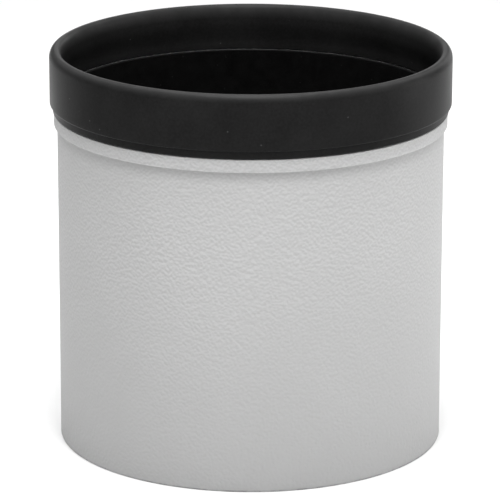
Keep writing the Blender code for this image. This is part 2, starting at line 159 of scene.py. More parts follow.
def lathe(profile, segments=RING_SEGMENTS, closed=True, shape=None):
    """Turn (radius, height) points about Z. closed makes a ring; otherwise both ends are on the axis.

    shape(radius, angle, height) may bend the circles.
    """
    bm = bmesh.new()
    loops = []
    for radius, height in profile:
        if radius <= 0.0:
            loops.append([bm.verts.new((0.0, 0.0, height))] * segments)
            continue
        loop = []
        for step in range(segments):
            angle = 2.0 * math.pi * step / segments
            reach = shape(radius, angle, height) if shape else radius
            loop.append(bm.verts.new((reach * math.cos(angle), reach * math.sin(angle), height)))
        loops.append(loop)
    pairs = list(zip(loops, loops[1:]))
    if closed:
        pairs.append((loops[-1], loops[0]))
    for low, high in pairs:
        for step in range(segments):
            after = (step + 1) % segments
            bm.faces.new(dict.fromkeys((low[step], low[after], high[after], high[step])))
    return bm


def lathe_about_screw(profile, segments=SMALL_SEGMENTS, closed=True, shape=None):
    """The same about the screw's axis, where the heights are Y."""
    bm = lathe(profile, segments, closed, shape)
    bmesh.ops.transform(bm, matrix=ABOUT_SCREW, verts=bm.verts)
    return bm


def stepped_heights(low, high, step):
    """Heights from low to high, both included, about a step apart."""
    count = max(1, round((high - low) / step))
    return [low + (high - low) * index / count for index in range(count + 1)]


def bent_plate(sections):
    """A solid lofted through closed sections, each a list of (radius, degrees from +Y, height)."""
    bm = bmesh.new()
    rows = []
    for section in sections:
        row = []
        for radius, degrees, height in section:
            angle = math.radians(degrees)
            row.append(bm.verts.new((radius * math.sin(angle), radius * math.cos(angle), height)))
        rows.append(row)
    for near, far in zip(rows, rows[1:]):
        for index in range(len(near)):
            after = (index + 1) % len(near)
            bm.faces.new((near[index], near[after], far[after], far[index]))
    bm.faces.new(rows[0])
    bm.faces.new(rows[-1])
    return bm


def plate_sections(radii, height_range, half_deg, corner, edge):
    """Sections of a plate bent round Z, with rounded corners and softened long edges."""
    inner, outer = radii
    low, high = height_range
    middle = (low + high) / 2.0
    half_length = math.radians(half_deg) * outer
    corner_deg = math.degrees(corner / outer)
    stops = [half_deg - corner_deg * (1.0 - math.sin(math.radians(turn))) for turn in range(0, 91, 15)]
    flat = stepped_heights(-stops[0], stops[0], 1.0)
    degrees_list = [-stop for stop in reversed(stops[1:])] + flat + stops[1:]
    sections = []
    for degrees in degrees_list:
        along = abs(math.radians(degrees)) * outer
        into = max(0.0, along - (half_length - corner))
        half = (high - low) / 2.0 - corner + math.sqrt(max(corner ** 2 - into ** 2, 0.0))
        half = max(half, edge * 1.2)
        near_end = min(1.0, max(0.0, half_length - along) / edge)
        top = outer - edge * (1.0 - math.sqrt(1.0 - (1.0 - near_end) ** 2))
        sections.append([
            (inner, degrees, middle - half),
            (top - edge, degrees, middle - half),
            (top - edge * 0.3, degrees, middle - half + edge * 0.3),
            (top, degrees, middle - half + edge),
            (top, degrees, middle + half - edge),
            (top - edge * 0.3, degrees, middle + half - edge * 0.3),
            (top - edge, degrees, middle + half),
            (inner, degrees, middle + half),
        ])
    return sections


def bar(start, end, radius, segments=48, end_radius=None):
    """A round or conical bar between two points."""
    start = Vector(start)
    end = Vector(end)
    bm = bmesh.new()
    turn = (end - start).to_track_quat("Z", "Y").to_matrix().to_4x4()
    bmesh.ops.create_cone(
        bm, cap_ends=True, segments=segments, radius1=radius,
        radius2=radius if end_radius is None else end_radius, depth=(end - start).length,
        matrix=Matrix.Translation((start + end) / 2.0) @ turn)
    return bm


def apply_boolean(target, tools, operation="DIFFERENCE"):
    """Cut or join target with tool meshes, then remove the tools."""
    for number, bm in enumerate(tools):
        tool = finish_mesh(f"{target.name}_tool_{number}", bm, [])
        modifier = target.modifiers.new("cut", "BOOLEAN")
        modifier.operation = operation
        modifier.solver = "EXACT"
        modifier.object = tool
        graph = bpy.context.evaluated_depsgraph_get()
        result = bpy.data.meshes.new_from_object(target.evaluated_get(graph), depsgraph=graph)
        target.modifiers.clear()
        target.data = result
        bpy.data.objects.remove(tool, do_unlink=True)
    target.data.shade_smooth()
    target.data.set_sharp_from_angle(angle=math.radians(SHARP_DEG))


def around_screw(degrees, radius, height=None):
    """A point at an angle from +Y towards +X, at the screw's height."""
    angle = math.radians(degrees)
    at_height = SCREW_Z if height is None else height
    return Vector((radius * math.sin(angle), radius * math.cos(angle), at_height))


# ---------------------------------------------------------------- material tools

class Nodes:
    """A short way to build one material's node tree."""

    def __init__(self, name):
        self.material = bpy.data.materials.new(name)
        self.material.use_nodes = True
        self.tree = self.material.node_tree
        self.shader = self.tree.nodes["Principled BSDF"]
        self.place = self.add("ShaderNodeTexCoord").outputs["Object"]

    def add(self, kind, inputs=None, **settings):
        """A new node, with its input sockets and its settings."""
        node = self.tree.nodes.new(kind)
        for key, value in settings.items():
            setattr(node, key, value)
        for key, value in (inputs or {}).items():
            self.feed(value, node.inputs[key])
        return node

    def feed(self, value, socket):
        """Links a socket, or sets a plain value."""
        if isinstance(value, bpy.types.NodeSocket):
            self.tree.links.new(value, socket)
        else:
            socket.default_value = value

    def set(self, **values):
        """Sets sockets of the shader: base_color=..., roughness=..."""
        for key, value in values.items():
            self.feed(value, self.shader.inputs[key.replace("_", " ").title().replace("Ior", "IOR")])

    def noise(self, scale, detail=2.0, roughness=0.5, where=None):
        """Soft noise from 0 to 1, in the object's own space."""
        inputs = {"Scale": scale, "Detail": detail, "Roughness": roughness, "Vector": where or self.place}
        return self.add("ShaderNodeTexNoise", inputs).outputs["Fac"]

    def cells(self, scale, where=None, feature="F1", output="Distance"):
        """Distances or colours of random cells, in the object's own space."""
        inputs = {"Scale": scale, "Vector": where or self.place}
        return self.add("ShaderNodeTexVoronoi", inputs, feature=feature).outputs[output]

    def math(self, operation, first, second=0.0, clamp=False):
        """One sum of two values or sockets."""
        node = self.add("ShaderNodeMath", operation=operation, use_clamp=clamp)
        self.feed(first, node.inputs[0])
        self.feed(second, node.inputs[1])
        return node.outputs[0]

    def span(self, value, from_low, from_high, to_low, to_high):
        """A value moved from one range to another, and clamped to it."""
        inputs = {"Value": value, "From Min": from_low, "From Max": from_high,
                  "To Min": to_low, "To Max": to_high}
        return self.add("ShaderNodeMapRange", inputs).outputs["Result"]

    def blend(self, factor, first, second):
        """Between two colours, or a colour and a socket."""
        node = self.add("ShaderNodeMix", data_type="RGBA")
        self.feed(factor, node.inputs["Factor"])
        self.feed(first if isinstance(first, bpy.types.NodeSocket) else (*first, 1.0), node.inputs["A"])
        self.feed(second if isinstance(second, bpy.types.NodeSocket) else (*second, 1.0), node.inputs["B"])
        return node.outputs["Result"]

    def stretched(self, scale):
        """Coordinates stretched by a scale for each axis."""
        return self.add("ShaderNodeMapping", {"Vector": self.place, "Scale": scale}).outputs["Vector"]

    def height(self, name):
        """One of the point's X, Y and Z, in metres."""
        return self.add("ShaderNodeSeparateXYZ", {"Vector": self.place}).outputs[name]

    def bump(self, height, strength, distance):
        node = self.add("ShaderNodeBump", {"Height": height, "Strength": strength, "Distance": distance})
        self.feed(node.outputs["Normal"], self.shader.inputs["Normal"])


def grey(value):
    """A grey colour."""
    return (value, value, value)


# ---------------------------------------------------------------- materials

# The wrinkle's two greys: painted shade on its undersides, painted light on its upper sides
PAINT_WRINKLE_SHADE = grey(0.505)
PAINT_WRINKLE_LIT = grey(0.605)
PAINT_AGED = grey(0.54)
# Painted shade, darker towards the tube's rear end
PAINT_LOW_SHADE = grey(0.495)
PAINT_SCUFF = grey(0.16)
# Painted shade in the corner under the band
PAINT_BAND_SHADE = grey(0.25)
PAINT_RELIEF = 0.3 * MM
WRINKLE_SCALE = 820.0
WRINKLE_STEP = 0.35 * MM        # how far up the wrinkles are compared, to find the undersides for painted shade and the upper sides for painted light
# Height of the painted shade towards the rear end
LOW_SHADE_HEIGHT = 100.0 * MM
# Height of the painted shade under the band
BAND_SHADE_HEIGHT = 7.0 * MM
SCUFF_HEIGHT = 0.9 * MM
RUBBER_DARK = grey(0.0115)
RUBBER_LIGHT = grey(0.0185)
# Grey of the lip's crest: partly rubbing, partly a painted highlight of the overhead light
RUBBER_WORN_AND_LIT = grey(0.034)
RUBBER_SPECULAR = 0.045
FLOOR_NEAR = grey(0.66)
FLOOR_FAR = grey(0.87)
FLOOR_GLOW = 0.13
FLOOR_GLOW_FAR = 1.0


def make_wrinkle_paint():
    """Light grey paint with a fine leathery wrinkle.

    Painted light and shade make the upper side of each wrinkle lighter and its underside darker, painted
    shade darkens the corner under the band and the tube towards its rear end, and the rear rim is scuffed.
    """
    n = Nodes("wrinkle_paint")
    wander = n.add("ShaderNodeTexNoise", {"Vector": n.place, "Scale": 420.0, "Detail": 1.0})
    moved = n.add("ShaderNodeVectorMath", {0: wander.outputs["Color"], 1: (0.8 * MM,) * 3, 2: n.place},
                  operation="MULTIPLY_ADD").outputs["Vector"]
    higher = n.add("ShaderNodeMapping", {"Vector": moved, "Location": (0.0, 0.0, WRINKLE_STEP)})
    folds = n.noise(WRINKLE_SCALE, 0.5, 0.4, moved)
    painted_wrinkle_light = n.math("SUBTRACT", folds, n.noise(WRINKLE_SCALE, 0.5, 0.4, higher.outputs["Vector"]))
    cracks = n.cells(560.0, moved, "SMOOTH_F1")
    grain = n.noise(1600.0, 2.0, 0.5)
    relief = n.math("ADD", folds, n.math("MULTIPLY", cracks, 0.35))
    relief = n.math("ADD", relief, n.math("MULTIPLY", grain, 0.22))
    # Painted light and shade: each wrinkle lighter on its upper side and darker underneath, as if lit from
    # above
    tone = n.blend(n.span(painted_wrinkle_light, -0.14, 0.14, 0.0, 1.0), PAINT_WRINKLE_SHADE, PAINT_WRINKLE_LIT)
    tone = n.blend(n.span(n.noise(9.0, 2.0), 0.3, 0.7, 0.0, 0.3), tone, PAINT_AGED)
    height = n.height("Z")
    # Painted shade: the paint darkens towards the tube's rear end
    lower = n.span(height, 0.0, LOW_SHADE_HEIGHT, 1.0, 0.0)
    painted_low_shade = n.math("ADD", lower, n.span(n.noise(30.0, 3.0), 0.3, 0.7, -0.1, 0.1), True)
    tone = n.blend(painted_low_shade, tone, PAINT_LOW_SHADE)
    # Painted shade in the corner under the band, darkest right below its edge
    dust_and_shade = n.span(height, BAND_LOW - BAND_SHADE_HEIGHT, BAND_LOW - 0.2 * MM, 0.0, 1.0)
    dust_and_shade = n.math("MULTIPLY", dust_and_shade, dust_and_shade)
    dust_and_shade = n.math("MULTIPLY", dust_and_shade, n.math("MULTIPLY", n.math("LESS_THAN", height, BAND_LOW), 0.35))
    tone = n.blend(dust_and_shade, tone, PAINT_BAND_SHADE)
    at_rim = n.span(height, 0.0, SCUFF_HEIGHT, 1.0, 0.0)
    scuffs = n.math("MULTIPLY", at_rim, n.span(n.noise(350.0, 3.0), 0.45, 0.6, 0.3, 0.9), True)
    n.set(base_color=n.blend(scuffs, tone, PAINT_SCUFF),
          roughness=n.span(grain, 0.3, 0.7, 0.5, 0.68), specular_ior_level=0.35)
    n.bump(relief, 0.8, PAINT_RELIEF)
    return n.material


def make_rubber():
    """Matt black moulded rubber with a faint skin and a few dust specks, greyer on the lip from rubbing and
    from a painted highlight.
    """
    n = Nodes("black_rubber")
    skin = n.noise(2600.0, 2.0, 0.6)
    cloud = n.noise(38.0, 3.0, 0.55)
    dust_and_shade = n.cells(230.0)
    pick = n.cells(230.0, output="Color")
    chosen = n.math("GREATER_THAN", n.add("ShaderNodeSeparateColor", {"Color": pick}).outputs[0], 0.86)
    speck = n.math("MULTIPLY", n.span(dust_and_shade, 0.05, 0.085, 1.0, 0.0), chosen)
    mottle = n.math("ADD", n.math("MULTIPLY", cloud, 0.6), n.math("MULTIPLY", n.noise(900.0, 2.0), 0.4))
    tone = n.blend(n.span(mottle, 0.38, 0.65, 0.0, 1.0), RUBBER_DARK, RUBBER_LIGHT)
    reach = n.add("ShaderNodeVectorMath", {0: n.stretched((1.0, 1.0, 0.0))}, operation="LENGTH")
    outwards = n.math("SUBTRACT", reach.outputs["Value"], LIP_CREST_R)
    lean = n.math("SUBTRACT", n.height("Z"), n.math("MULTIPLY", outwards, 0.5))
    # The crest is greyed partly by rubbing and partly as a painted highlight of the light from above
    crest = n.span(lean, RING_HIGH - 4.5 * MM, RING_HIGH - 1.0 * MM, 0.0, 1.0)
    worn_and_lit = n.math("MULTIPLY", crest, n.span(n.noise(120.0, 3.0), 0.3, 0.7, 0.6, 1.0), True)
    tone = n.blend(worn_and_lit, tone, RUBBER_WORN_AND_LIT)
    n.set(base_color=n.blend(n.math("MULTIPLY", speck, 0.5), tone, grey(0.11)),
          roughness=n.span(n.math("ADD", n.math("MULTIPLY", cloud, 0.7), n.math("MULTIPLY", skin, 0.3)),
                           0.3, 0.7, 0.3, 0.4),
          specular_ior_level=RUBBER_SPECULAR)
    n.bump(n.math("ADD", skin, n.math("MULTIPLY", speck, 0.6)), 0.2, 0.00004)
    return n.material


def make_flock():
    """Black flocked cloth: short fibres, faint nap and specks of lint."""
    n = Nodes("black_flock")
    fibre = n.noise(3200.0, 3.0, 0.7)
    nap = n.noise(210.0, 3.0, 0.6)
    lint = n.cells(420.0)
    pick = n.cells(420.0, output="Color")
    chosen = n.math("GREATER_THAN", n.add("ShaderNodeSeparateColor", {"Color": pick}).outputs[1], 0.8)
    speck = n.math("MULTIPLY", n.span(lint, 0.08, 0.16, 1.0, 0.0), chosen)
    tone = n.blend(n.span(n.math("ADD", n.math("MULTIPLY", fibre, 0.6), n.math("MULTIPLY", nap, 0.4)),
                          0.35, 0.65, 0.0, 1.0), grey(0.0012), grey(0.0055))
    n.set(base_color=n.blend(n.math("MULTIPLY", speck, 0.45), tone, grey(0.03)),
          roughness=1.0, specular_ior_level=0.05)
    n.bump(n.math("ADD", fibre, n.math("MULTIPLY", nap, 0.5)), 0.6, 0.00025)
    return n.material


def make_turned_metal(name, dark, light, metallic, roughness, lines, wear=None):
    """Metal with the faint lines that a lathe leaves. lines is the stretch of the coordinates."""
    n = Nodes(name)
    turning = n.noise(1.0, 2.0, 0.6, n.stretched(lines))
    patches = n.noise(90.0, 3.0)
    tone = n.blend(n.span(turning, 0.3, 0.7, 0.0, 1.0), dark, light)
    if wear:
        rubbed = n.span(n.noise(500.0, 4.0, 0.7), 0.66, 0.74, 0.0, 0.6)
        tone = n.blend(rubbed, tone, wear)
    n.set(base_color=tone, metallic=metallic,
          roughness=n.span(patches, 0.3, 0.7, roughness - 0.06, roughness + 0.08))
    n.bump(turning, 0.25, 0.00003)
    return n.material


def make_plastic(name, dark, light, roughness):
    """Moulded plastic with a spark-eroded grain."""
    n = Nodes(name)
    grain = n.noise(2800.0, 2.0, 0.6)
    cloud = n.noise(160.0, 3.0)
    n.set(base_color=n.blend(n.span(cloud, 0.3, 0.7, 0.0, 1.0), dark, light),
          roughness=n.span(grain, 0.3, 0.7, roughness - 0.08, roughness + 0.1))
    n.bump(grain, 0.35, 0.00004)
    return n.material


def make_black_paint():
    """Thin matt black paint on the tube's inside and on its front end."""
    n = Nodes("matt_black_paint")
    grain = n.noise(1800.0, 3.0, 0.6)
    cloud = n.noise(70.0, 3.0)
    n.set(base_color=n.blend(n.span(cloud, 0.3, 0.7, 0.0, 1.0), grey(0.008), grey(0.013)),
          roughness=n.span(grain, 0.3, 0.7, 0.6, 0.75), specular_ior_level=0.1)
    n.bump(grain, 0.3, 0.00004)
    return n.material


def make_floor_material():
    """Pale backdrop paper, a little greyer round the hood."""
    n = Nodes("studio_floor")
    away = n.add("ShaderNodeVectorMath", {0: n.place}, operation="LENGTH").outputs["Value"]
    tone = n.blend(n.span(away, 0.12, 0.55, 0.0, 1.0), FLOOR_NEAR, FLOOR_FAR)
    n.set(base_color=n.blend(n.noise(3.0, 2.0), tone, grey(0.92)), roughness=0.85,
          specular_ior_level=0.1, emission_color=(1.0, 1.0, 1.0, 1.0),
          emission_strength=n.span(away, 0.9, 3.0, FLOOR_GLOW, FLOOR_GLOW_FAR))
    return n.material


PAINT = make_wrinkle_paint()
RUBBER = make_rubber()
FLOCK = make_flock()
ANODISED = make_turned_metal("black_anodised", grey(0.012), grey(0.022), 0.3, 0.38,
                             (60.0, 60.0, 9000.0))
ANODISED_PLATE = make_turned_metal("black_anodised_plate", grey(0.012), grey(0.02), 0.3, 0.42,
                                   (2200.0, 2200.0, 2200.0), wear=grey(0.05))
STEEL = make_turned_metal("turned_steel", grey(0.42), grey(0.6), 1.0, 0.28, (500.0, 9000.0, 500.0))
BRASS = make_turned_metal("turned_brass", (0.55, 0.36, 0.12), (0.78, 0.56, 0.24), 1.0, 0.3,
                          (500.0, 9000.0, 500.0))
KNOB_PLASTIC = make_plastic("black_plastic", grey(0.012), grey(0.018), 0.45)
NYLON = make_plastic("nylon", grey(0.6), grey(0.7), 0.5)
BLACK_PAINT = make_black_paint()


# ---------------------------------------------------------------- tube, band, rubber and lining

def clamp_hole_tools(guide_end):
    """Cutters for the bush, the guide pins and the saddle's screws."""
    tools = [bar((0.0, CUT_NEAR, SCREW_Z), (0.0, CUT_FAR, SCREW_Z), BUSH_HOLE_R)]
    for side in (-1, 1):
        tools.append(bar((side * GUIDE_X, CUT_NEAR, SCREW_Z), (side * GUIDE_X, guide_end, SCREW_Z),
                         GUIDE_HOLE_R, 24))
        tools.append(saddle_screw_hole(side))
    return tools


def saddle_screw_hole(side):
    """A cutter for one of the saddle's screws; side is -1 or 1."""
    return bar(around_screw(side * SADDLE_SCREW_DEG, CUT_NEAR),
               around_screw(side * SADDLE_SCREW_DEG, CUT_FAR), SADDLE_SCREW_HOLE_R, 24)


def build_tube():
    """Painted outside and on its rear edge, black inside and at the front."""
    corners = [
        (TUBE_INSIDE, TUBE_LOW, 0.15 * MM),
        (TUBE_R, TUBE_LOW, 0.4 * MM),
        (TUBE_R, SPIGOT_LOW, 0.0),
        (SPIGOT_R, SPIGOT_LOW, 0.0),
        (SPIGOT_R, TUBE_HIGH, 0.2 * MM),
        (TUBE_INSIDE, TUBE_HIGH, 0.2 * MM),
    ]
    tube = finish_mesh("barrel_tube_fine", lathe(rounded(corners)), [PAINT, BLACK_PAINT])
    apply_boolean(tube, clamp_hole_tools(CUT_FAR))
    limit = TUBE_INSIDE + 0.2 * MM
    for face in tube.data.polygons:
        reach = math.hypot(face.center.x, face.center.y)
        face.material_index = int(reach < limit or face.center.z > SPIGOT_LOW)
    stand_for(tube, "barrel_tube", "hood")


def build_band():
    """The raised band, with a small fillet of paint where it meets the tube."""
    seat_r = BAND_R - 0.7 * MM
    face_top = BAND_LOW + 5.45 * MM
    bead = (face_top + 3.75 * MM, face_top + 5.35 * MM)
    fillet = 0.4 * MM
    corners = [
        (TUBE_R + 0.02 * MM, BAND_LOW - fillet, 0.0),
        (TUBE_R + 0.25 * fillet, BAND_LOW - 0.28 * fillet, 0.25 * MM),
        (TUBE_R + fillet, BAND_LOW, 0.15 * MM),
        (BAND_R, BAND_LOW, 0.45 * MM),
        (BAND_R, face_top, 0.35 * MM),
        (seat_r, face_top, 0.0),
        (seat_r, bead[0] - 0.2 * MM, 0.0),
        (BAND_R, bead[0], 0.3 * MM),
        (BAND_R, bead[1], 0.3 * MM),
        (seat_r, bead[1] + 0.2 * MM, 0.0),
        (seat_r, BAND_HIGH, 0.2 * MM),
        (SPIGOT_R + 0.1 * MM, BAND_HIGH, 0.0),
        (SPIGOT_R + 0.1 * MM, SPIGOT_LOW + 0.2 * MM, 0.0),
        (TUBE_R + 0.02 * MM, SPIGOT_LOW + 0.2 * MM, 0.0),
    ]
    band = finish_mesh("front_band_fine", lathe(rounded(corners)), PAINT)
    stand_for(band, "front_band", "hood")


def build_bumper():
    """The rubber ring: a round lip that rolls over into a long soft throat, and a stepped-in rear skirt."""
    skirt_r = RING_R - 1.3 * MM
    step_z = RING_LOW + 3.25 * MM
    inner_r = RING_R - 3.8 * MM
    inside_r = BAND_R - 0.4 * MM
    groove_r = BAND_R + 0.3 * MM
    bead_low = RING_LOW + 3.45 * MM
    bead_high = bead_low + 1.6 * MM
    ledge_z = TUBE_HIGH + 0.3 * MM
    outer_drop = 3.6 * MM
    throat_drop = 7.5 * MM
    flare = 10.0 * MM
    throat_r = LIP_CREST_R - LIP_HALF
    outer_z = RING_HIGH - outer_drop
    throat_z = RING_HIGH - throat_drop
    corners = [
        (inner_r, ledge_z, 0.2 * MM),
        (inside_r, ledge_z, 0.0),
        (inside_r, bead_high + 0.5 * MM, 0.0),
        (groove_r, bead_high + 0.3 * MM, 0.0),
        (groove_r, bead_low - 0.3 * MM, 0.0),
        (inside_r, bead_low - 0.5 * MM, 0.0),
        (inside_r, RING_LOW, 0.1 * MM),
        (skirt_r, RING_LOW, 0.25 * MM),
        (skirt_r, step_z, 0.2 * MM),
        (RING_R, step_z, 0.6 * MM),
    ]
    wall = stepped_heights(step_z + 2.0 * MM, outer_z - 2.0 * MM, 3.0 * MM)
    corners += [(RING_R, height, 0.0) for height in wall]
    quarter = 16
    for step in range(quarter):
        turn = math.pi / 2.0 * step / quarter
        outwards = LIP_HALF * math.cos(turn)
        corners.append((LIP_CREST_R + outwards, outer_z + outer_drop * math.sin(turn), 0.0))
    for step in range(quarter + 1):
        turn = math.pi / 2.0 * step / quarter
        inwards = LIP_HALF * math.sin(turn) ** THROAT_FULLNESS
        upwards = throat_drop * math.cos(turn) ** THROAT_FULLNESS
        corners.append((LIP_CREST_R - inwards, throat_z + upwards, 0.0))
    flare_steps = 12
    for step in range(1, flare_steps + 1):
        share = step / flare_steps
        ease = 0.5 * (1.0 - math.cos(math.pi * share))
        corners.append((throat_r + (inner_r - throat_r) * ease, throat_z - flare * share, 0.0))
    ring = finish_mesh("bumper_ring_fine", lathe(rounded(corners)), RUBBER)
    stand_for(ring, "bumper_ring", "hood")


def felt_strip(name, radius, thickness, degrees_range, heights, ripple):
    """A strip of flocked cloth laid against a round wall, with faint unevenness."""
    start, end = degrees_range
    columns = max(8, round(abs(end - start) / 1.5))
    rows = stepped_heights(heights[0], heights[1], 3.0 * MM)
    bm = bmesh.new()
    grids = []
    for side in (0, 1):
        grid = []
        for column in range(columns + 1):
            angle = math.radians(start + (end - start) * column / columns)
            line = []
            for row, height in enumerate(rows):
                at_edge = row in (0, len(rows) - 1)
                wave = 0.0 if at_edge else ripple * math.sin(7.0 * angle + row) * math.cos(3.1 * row)
                reach = radius if side == 0 else radius - thickness - abs(wave)
                line.append(bm.verts.new((reach * math.sin(angle), reach * math.cos(angle), height)))
            grid.append(line)
        grids.append(grid)
    outer, inner = grids
    last_row = len(rows) - 1
    for column in range(columns):
        for row in range(last_row):
            for grid in grids:
                bm.faces.new((grid[column][row], grid[column + 1][row],
                              grid[column + 1][row + 1], grid[column][row + 1]))
        for row in (0, last_row):
            bm.faces.new((outer[column][row], outer[column + 1][row],
                          inner[column + 1][row], inner[column][row]))
    for column in (0, columns):
        for row in range(last_row):
            bm.faces.new((outer[column][row], outer[column][row + 1],
                          inner[column][row + 1], inner[column][row]))
    return finish_mesh(name, bm, FLOCK)


def build_lining():
    """One rectangle of flocked cloth, rolled into the tube. Its seam is well round from the knob."""
    seam_deg = 0.15
    seam_at = 150.0
    lining = felt_strip("felt_lining_fine", FELT_R, FELT_THICKNESS,
                        (seam_at + seam_deg, seam_at + 360.0 - seam_deg), (FELT_LOW, FELT_HIGH), 0.04 * MM)
    stand_for(lining, "felt_lining", "hood")


# ---------------------------------------------------------------- lens seat and shoe

def build_collar():
    """The seat ring, with the shoulder that stops the lens and a window for the shoe."""
    corners = [
        (SEAT_R, COLLAR_LOW, 0.75 * MM),
        (COLLAR_R, COLLAR_LOW, 0.2 * MM),
        (COLLAR_R, COLLAR_HIGH, 0.2 * MM),
        (STOP_R, COLLAR_HIGH, 0.5 * MM),
        (STOP_R, SEAT_HIGH, 0.3 * MM),
        (SEAT_R, SEAT_HIGH, 0.3 * MM),
    ]
    collar = finish_mesh("rear_collar_fine", lathe(rounded(corners)), ANODISED)
    window = bmesh.new()
    bmesh.ops.create_cube(window, size=1.0)
    bmesh.ops.scale(window, vec=(2 * WINDOW_HALF_WIDTH, 20.0 * MM, 2 * WINDOW_HALF_HEIGHT),
                    verts=window.verts)
    bmesh.ops.translate(window, vec=(0.0, COLLAR_R, SCREW_Z), verts=window.verts)
    upright = [edge for edge in window.edges
               if abs((edge.verts[0].co - edge.verts[1].co).normalized().y) > 0.9]
    bmesh.ops.bevel(window, geom=upright, offset=1.5 * MM, segments=5, affect="EDGES", profile=0.5)
    apply_boolean(collar, [window, saddle_screw_hole(-1), saddle_screw_hole(1)])
    stand_for(collar, "rear_collar", "hood")


def build_seat_felt():
    """The three strips lie where their CAD nodes lie, which leaves the shoe's side free."""
    outer_r = SEAT_R - 0.3 * MM
    clear_deg = 22.0
    gap_deg = 2.0
    length = (360.0 - 2.0 * clear_deg - 2.0 * gap_deg) / 3.0
    for index in range(3):
        start = clear_deg + index * (length + gap_deg)
        node = f"seat_felt_{3 - index}"
        low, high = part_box(node)
        strip = felt_strip(f"seat_felt_fine_{3 - index}", outer_r, SEAT_FELT_THICKNESS,
                           (start, start + length), (low[2], high[2]), 0.02 * MM)
        stand_for(strip, node, "hood")


def build_shoe():
    """The curved shoe and the pad bonded to it, with room for the screw's tip and the guide pins."""
    low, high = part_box("clamp_shoe")
    sections = plate_sections((high[1] - 1.6 * MM, high[1]), (low[2], high[2]), 15.0,
                              1.5 * MM, 0.25 * MM)
    shoe = finish_mesh("clamp_shoe_fine", bent_plate(sections), STEEL)
    tip_hole = bar((0.0, low[1] - 5.0 * MM, SCREW_Z), (0.0, high[1] + 5.0 * MM, SCREW_Z), 2.2 * MM)
    guide_holes = [bar((side * GUIDE_X, low[1] - 5.0 * MM, SCREW_Z),
                       (side * GUIDE_X, high[1] + 5.0 * MM, SCREW_Z), GUIDE_HOLE_R, 24)
                   for side in (-1, 1)]
    apply_boolean(shoe, [tip_hole] + guide_holes)
    stand_for(shoe, "clamp_shoe", "shoe")

    low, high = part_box("shoe_pad")
    sections = plate_sections((high[1] - 1.0 * MM, high[1] + 0.25 * MM), (low[2], high[2]), 14.0,
                              1.0 * MM, 0.2 * MM)
    pad = finish_mesh("shoe_pad_fine", bent_plate(sections), FLOCK)
    apply_boolean(pad, [bar((0.0, low[1] - 5.0 * MM, SCREW_Z), (0.0, high[1] + 5.0 * MM, SCREW_Z),
                            4.2 * MM)])
    stand_for(pad, "shoe_pad", "shoe")


# ---------------------------------------------------------------- saddle, bush and screws

def build_saddle():
    """A bent plate with rounded corners and a turned boss."""
    low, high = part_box("knob_saddle")
    plate_r = (TUBE_R + 0.02 * MM, TUBE_R + 2.8 * MM)
    sections = plate_sections(plate_r, (low[2], high[2]), 23.0, 4.0 * MM, 0.5 * MM)
    saddle = finish_mesh("knob_saddle_fine", bent_plate(sections), ANODISED_PLATE)
    boss_r = 9.0 * MM
    root = plate_r[1] - 0.9 * MM
    foot = 0.9 * MM
    profile = [(0.0, root), (boss_r + foot, root), (boss_r + foot, plate_r[1] - 0.15 * MM)]
    for step in range(7):
        turn = math.radians(15.0 * step)
        profile.append((boss_r + foot * (1.0 - math.sin(turn)),
                        plate_r[1] - 0.1 * MM + foot * (1.0 - math.cos(turn))))
    edge = 0.5 * MM
    profile += [(boss_r, high[1] - edge), (boss_r - 0.3 * edge, high[1] - 0.3 * edge),
                (boss_r - edge, high[1]), (0.0, high[1])]
    apply_boolean(saddle, [lathe_about_screw(profile, SMALL_SEGMENTS, False)], "UNION")
    cuts = clamp_hole_tools(TUBE_R + 1.3 * MM)
    for side in (-1, 1):
        cuts.append(bar(around_screw(side * SADDLE_SCREW_DEG, plate_r[1] - 1.5 * MM),
                        around_screw(side * SADDLE_SCREW_DEG, plate_r[1] + 0.3 * MM),
                        SADDLE_SCREW_HOLE_R - 0.1 * MM, 48, 3.1 * MM))
    apply_boolean(saddle, cuts)
    stand_for(saddle, "knob_saddle", "hood")


def build_saddle_screws():
    """Countersunk screws with a hexagon socket."""
    shank_r = 1.2 * MM
    head_r = 2.4 * MM
    length = 6.6 * MM
    edge = 0.12 * MM
    profile = [(0.0, 0.0), (shank_r - edge, 0.0), (shank_r, edge), (shank_r, length - 1.2 * MM),
               (head_r, length - edge), (head_r - edge, length), (0.0, length)]
    for index, side in enumerate((-1, 1)):
        start = around_screw(side * SADDLE_SCREW_DEG, TUBE_R - 3.9 * MM)
        way = around_screw(side * SADDLE_SCREW_DEG, 1.0, 0.0)
        place = Matrix.Translation(start) @ way.to_track_quat("Z", "Y").to_matrix().to_4x4()
        screw = finish_mesh(f"saddle_screw_fine_{index + 1}", lathe(profile, 48, False), STEEL)
        socket = bar((0.0, 0.0, length - 0.9 * MM), (0.0, 0.0, length + MM), 1.0 * MM, 6)
        apply_boolean(screw, [socket])
        screw.data.transform(place)
        stand_for(screw, f"saddle_screw_{index + 1}", "hood")


def build_bush():
    """A flanged nut with softened edges."""
    flange_r, low, high = size_about_screw("threaded_bush")
    bore_r = 2.8 * MM
    body_r = 4.2 * MM
    under = high - 1.0 * MM
    corners = [
        (bore_r, low, 0.3 * MM),
        (body_r, low, 0.3 * MM),
        (body_r, under, 0.0),
        (flange_r, under, 0.15 * MM),
        (flange_r, high, 0.25 * MM),
        (bore_r, high, 0.4 * MM),
    ]
    bush = finish_mesh("threaded_bush_fine", lathe_about_screw(rounded(corners)), BRASS)
    stand_for(bush, "threaded_bush", "hood")


# ---------------------------------------------------------------- screw and knob

